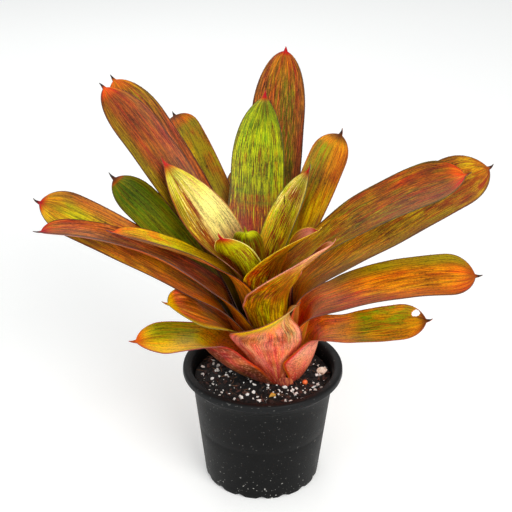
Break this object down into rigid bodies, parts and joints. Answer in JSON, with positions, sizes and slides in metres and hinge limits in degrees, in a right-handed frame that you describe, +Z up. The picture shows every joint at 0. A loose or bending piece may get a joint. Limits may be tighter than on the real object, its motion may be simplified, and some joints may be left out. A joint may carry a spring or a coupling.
{
  "type": "neoregelia bromeliad in a nursery pot",
  "caption": "Neoregelia bromeliad: an open rosette of broad strap leaves, green to coral, on a short stem in a filled round black nursery pot.",
  "frame": {"origin": "centre of the underside of the pot's base", "axes": "+Z up along the pot's axis; -Y is the front, the side seen in the picture; +X is to the right seen from the front"},
  "size_m": [0.4092, 0.276, 0.3668],
  "materials": {
    "pot_plastic": "satin",
    "potting_mix": "matte",
    "stem": "matte",
    "leaf_green": "satin",
    "leaf_lime": "satin",
    "leaf_olive": "satin",
    "leaf_mauve": "satin",
    "leaf_rust": "satin",
    "leaf_coral": "satin",
    "leaf_yellow": "satin"
  },
  "bodies": {
    "root": {"pot": "pot_plastic", "soil": "potting_mix", "stem": "stem", "leaf_heart": "leaf_green", "leaf_inner_front_left": "leaf_lime", "leaf_inner_right": "leaf_lime", "leaf_inner_left": "leaf_lime", "leaf_inner_back": "leaf_green", "leaf_inner_front_right": "leaf_rust", "leaf_left_short": "leaf_olive", "leaf_right_upper": "leaf_olive", "leaf_front_right_cupped": "leaf_rust", "leaf_upper_left_front": "leaf_mauve", "leaf_upper_left_back": "leaf_mauve", "leaf_back_right": "leaf_olive", "leaf_back_left": "leaf_olive", "leaf_back_tall": "leaf_mauve", "leaf_left_folded": "leaf_mauve", "leaf_right_long": "leaf_rust", "leaf_left_green": "leaf_green", "leaf_left_long": "leaf_rust", "leaf_right_lower": "leaf_rust", "leaf_back_hidden": "leaf_olive", "leaf_front_left_curled": "leaf_rust", "leaf_back_low": "leaf_olive", "leaf_front_coral": "leaf_coral", "leaf_lowest_left": "leaf_yellow", "leaf_lowest_right": "leaf_coral"}
  },
  "joints": []
}
